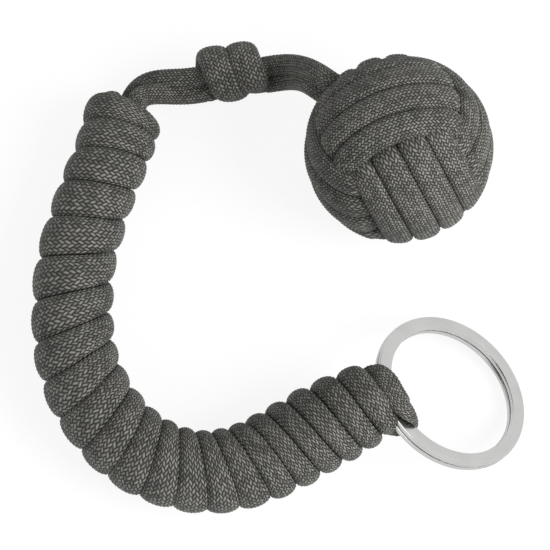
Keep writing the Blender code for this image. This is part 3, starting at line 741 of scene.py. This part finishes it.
def throatAndNeck():
    leaving = -handleWay(0)[0]
    upper = squareTo(neckAxis, knot["upperSide"])
    facing = np.cross(-neckAxis, upper)
    for letter, place in (("a", (math.pi, 0)), ("b", knot["exit"])):
        coreEnd = onHandle(0, handle["coreAngles"][letter], handle["coreOffset"])[0][0]
        knotStart = onKnot(-knot["length"] / 2, *place)[0][0]
        knotEnd = onKnot(knot["length"] / 2, *place)[0][0]
        pulls = neck["throatPulls"][letter]
        throat = joined(coreEnd, leaving, knotStart, knot["axis"], pulls)
        up, near = neck["fistPlaces"][letter]
        neckEnd = (fistCentre + neckAxis * (fistRadius - neck["endDepth"])
                   + upper * up + facing * near)
        run = joined(knotEnd, knot["axis"], neckEnd, -neckAxis, neck["pulls"])
        halves("throat_cord_" + letter, "throat_strand_" + letter, throat, leaving,
               knot["axis"])
        halves("neck_cord_" + letter, "neck_strand_" + letter, run, knot["axis"],
               -neckAxis)


stopperKnot()
throatAndNeck()
print("knot, throat and neck tied")


# split ring and the eye that holds it

ring = {
    "diameter": 30.0 * mm,
    "thickness": 2.3 * mm,         # of both turns of wire
    "wireWidth": 2.6 * mm,
    "wireThickness": 1.1 * mm,
    "wireRound": 7.3,              # mm once round the wire, for the scratches
    "boxiness": 5.0,
    "layerGap": 0.08 * mm,
    "stepHalf": math.radians(11),  # the step from one turn up to the other
    "endGap": math.radians(1.65),
    "segments": (12, 400),         # round the wire and along it
    "quickSegments": (8, 160),
    "place": (31.0 * mm, -23.55 * mm),
    "tilt": math.radians(27.9),
    "tiltHeading": math.radians(19),
    "stepHeading": math.pi,
}
ringMiddle = (ring["diameter"] - ring["wireWidth"]) / 2
ringHeight = (ring["diameter"] / 2 * math.sin(ring["tilt"])
              + ring["thickness"] / 2 * math.cos(ring["tilt"]))
ringCentre = Vector((*ring["place"], ringHeight))
ringTurn = Matrix.Rotation(ring["tiltHeading"], 3, "Z") @ Matrix.Rotation(ring["tilt"], 3, "Y")


def splitRing():
    around, steps = ring["segments" if fullDetail else "quickSegments"]
    mesh, column, row = rolledGrid("split_ring_wire", around, steps + 1, "wire")
    side, out = evenSection(around, ring["wireWidth"], ring["wireThickness"], ring["boxiness"])
    start = ring["stepHalf"] + ring["endGap"]
    angle = start + (4 * math.pi - 2 * start) * row / steps
    step = smoothStep(angle, 2 * math.pi - ring["stepHalf"], 2 * math.pi + ring["stepHalf"])
    layer = (ring["wireThickness"] + ring["layerGap"]) / 2
    radius = ringMiddle + side[column] * ring["wireWidth"] / 2
    height = layer * (2 * step - 1) + out[column] * ring["wireThickness"] / 2
    turned = angle + ring["stepHeading"]
    flat = np.stack([radius * np.cos(turned), radius * np.sin(turned), height], axis=1)
    place = flat @ np.array(ringTurn).T + np.array(ringCentre)
    made = closeTube(mesh, place, angle * ringMiddle / mm, column / around * ring["wireRound"])
    mesh.set_sharp_from_angle(angle=math.radians(50))
    dress(made, nickel, "nickel_plate", "ring", "split_ring")


eye = {
    # the strand's places round the wire, from the core's end to the wrap's: away from the
    # handle, along the wire and up, in mm
    "places": [(-3.4, -1.4, -3.2), (-1.5, -3.2, -3.5), (0.6, -4.0, -3.4), (2.1, -4.1, -2.2),
               (2.85, -3.9, -0.5), (2.5, -3.2, 1.5), (2.1, -1.8, 2.4), (1.7, 0.1, 2.7),
               (1.3, 2.1, 2.7), (0.4, 4.2, 2.1)],
    "still": (-2.2, 4.0, 0.0),     # if the eye swung, the strand would start bending here and stop bending here
    "swung": (2.0, -2.0, 0.0),     # and ends here
    "leads": (2.0 * mm, 1.0 * mm),  # from inside the core, and on along the wrap
    "coreWidth": 3.8 * mm,
    "width": 4.3 * mm,
    "thickness": (1.6 * mm, 2.9 * mm),  # round the wire, and at its ends
    # shares of its length, where it widens, thins, thickens and takes the wrap's width
    "widens": (0.1, 0.35),
    "thins": (0.1, 0.4),
    "thickens": (0.65, 1),
    "joinsWrap": (0.78, 1),
}


def ringEye():
    toEye, wire = (np.array(ringTurn @ Vector(way)) for way in ((-1, 0, 0), (0, 1, 0)))
    wireMiddle = np.array(ringCentre) + toEye * ringMiddle
    ending = handleWay(handleLength)[0]
    heading = squareTo(wire, ending)
    ways = np.stack([heading, wire, np.cross(heading, wire)])
    places = wireMiddle + np.array(eye["places"]) * mm @ ways
    coreEnd = onHandle(handleLength, handle["coreAngles"]["a"], handle["coreOffset"])[0]
    # it runs on into the wrap's last turn
    centres, wrapOut, widths = wrapEnd
    wrapLast = centres[-1:]
    coreLead, wrapLead = eye["leads"]
    before = coreEnd - ending * coreLead
    beyond = 2 * wrapLast - places[-1:] + unit(centres[-3:-2] - wrapLast) * wrapLead
    path = throughPoints(np.vstack([before, coreEnd, places, wrapLast, beyond]))
    path = path[pathSteps:-pathSteps]
    reached = lengthAlong(path)
    share = reached / reached[-1]
    # it faces away from the wire, which curves with the ring
    along = (path - wireMiddle) @ wire
    sagitta = ringMiddle - np.sqrt(np.clip(ringMiddle ** 2 - along ** 2, 0, None))
    fromWire = unit(path - (wireMiddle + wire * along[:, None] - toEye * sagitta[:, None]))
    atWrap = smoothStep(share, *eye["joinsWrap"])
    facing = fromWire * (1 - atWrap[:, None]) + wrapOut[-1] * atWrap[:, None]
    coreWidth = eye["coreWidth"]
    width = coreWidth + (eye["width"] - coreWidth) * smoothStep(share, *eye["widens"])
    width = width * (1 - atWrap) + widths[-1] * atWrap
    thin, thick = eye["thickness"]
    nearWire = smoothStep(share, *eye["thins"]) * (1 - smoothStep(share, *eye["thickens"]))
    piece = braidedTube("ring_eye_cord", path, facing, width, thick + (thin - thick) * nearWire)
    dress(piece, nylon, "braided_cord", None, "ring_eye")
    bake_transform(piece)


splitRing()
ringEye()
print("ring and eye made")


# the ball in the fist is the frame's own solid, under new steel

for piece in bpy.data.objects:
    if piece.name.startswith("steel_ball") and piece.type == "MESH":
        piece.data.materials.clear()
        piece.data.materials.append(steel)
print("ball dressed")


# stage, light and camera

stage = {
    "half": 1.2,
    "below": 0.3 * mm,             # the object
    "shadow": 0.12,                # how much of the object's shadow shows on the white
    "skyLight": 0.42,
}


def seenDirectly(tree):  # by the camera, in a reflection or through something clear
    path = addNode(tree, "ShaderNodeLightPath").outputs
    seen = addNode(tree, "ShaderNodeMath", {
        0: path["Is Camera Ray"], 1: path["Is Glossy Ray"]}, operation="MAXIMUM").outputs[0]
    return addNode(tree, "ShaderNodeMath", {
        0: seen, 1: path["Is Transmission Ray"]}, operation="MAXIMUM").outputs[0]


def paleFloor():
    # matt white paper, which shows white where it is seen and keeps the object's soft shadow
    material, tree = newMaterial("white paper sweep")
    paper = addNode(tree, "ShaderNodeBsdfDiffuse", {"Color": (0.9, 0.9, 0.9, 1)}).outputs[0]
    white = addNode(tree, "ShaderNodeEmission", {
        "Color": (1, 1, 1, 1), "Strength": 1.0}).outputs[0]
    bright = addNode(tree, "ShaderNodeMixShader", {
        0: 1 - stage["shadow"], 1: paper, 2: white}).outputs[0]
    both = addNode(tree, "ShaderNodeMixShader", {
        0: seenDirectly(tree), 1: paper, 2: bright}).outputs[0]
    addNode(tree, "ShaderNodeOutputMaterial", {0: both})
    shape = bmesh.new()
    bmesh.ops.create_grid(shape, x_segments=1, y_segments=1, size=stage["half"])
    mesh = bpy.data.meshes.new("floor")
    shape.to_mesh(mesh)
    shape.free()
    mesh.materials.append(material)
    floor = bpy.data.objects.new("floor", mesh)
    floor.location.z = -stage["below"]
    bpy.context.scene.collection.objects.link(floor)


def studioWorld():
    world = bpy.data.worlds.new("studio")
    bpy.context.scene.world = world
    world.use_nodes = True
    tree = world.node_tree
    tree.nodes.clear()
    strength = addNode(tree, "ShaderNodeMapRange", {
        0: seenDirectly(tree), 3: stage["skyLight"], 4: 1.0}).outputs[0]
    sky = addNode(tree, "ShaderNodeBackground", {
        "Color": (1, 1, 1, 1), "Strength": strength}).outputs[0]
    addNode(tree, "ShaderNodeOutputWorld", {0: sky})


lamps = {  # place, size and power; both point at the object
    "key": ((0.42, -0.20, 0.37), 0.35, 5.4),
    "fill": ((-0.45, -0.35, 0.40), 0.5, 1.6),
}
objectMiddle = Vector((0, 0, 0.01))


def aimAt(target, place):
    return (target - place).to_track_quat("-Z", "Y").to_euler()


def studioLamps():
    for name, (place, size, power) in lamps.items():
        light = bpy.data.lights.new(name, "AREA")
        light.size, light.energy = size, power
        lamp = bpy.data.objects.new(name, light)
        lamp.location = place
        lamp.rotation_euler = aimAt(objectMiddle, Vector(place))
        bpy.context.scene.collection.objects.link(lamp)


cameraSetup = {
    "target": (-0.00035, -0.00055, 0.008),
    "distance": 0.380,
    "elevation": 66.0,
    "lens": 135.53,
}


def photoCamera():
    lens = bpy.data.cameras.new("camera")
    lens.lens, lens.sensor_width, lens.sensor_height = cameraSetup["lens"], 36, 36
    lens.sensor_fit = "AUTO"
    lens.clip_start, lens.clip_end = 0.01, 10
    camera = bpy.data.objects.new("camera", lens)
    rise = math.radians(cameraSetup["elevation"])
    target = Vector(cameraSetup["target"])
    back = Vector((0, -math.cos(rise), math.sin(rise))) * cameraSetup["distance"]
    camera.location = target + back
    camera.rotation_euler = aimAt(target, camera.location)
    bpy.context.scene.collection.objects.link(camera)
    bpy.context.scene.camera = camera


paleFloor()
studioWorld()
studioLamps()
photoCamera()
bpy.context.scene.view_settings.view_transform = "Standard"
print("stage, lamps and camera set")
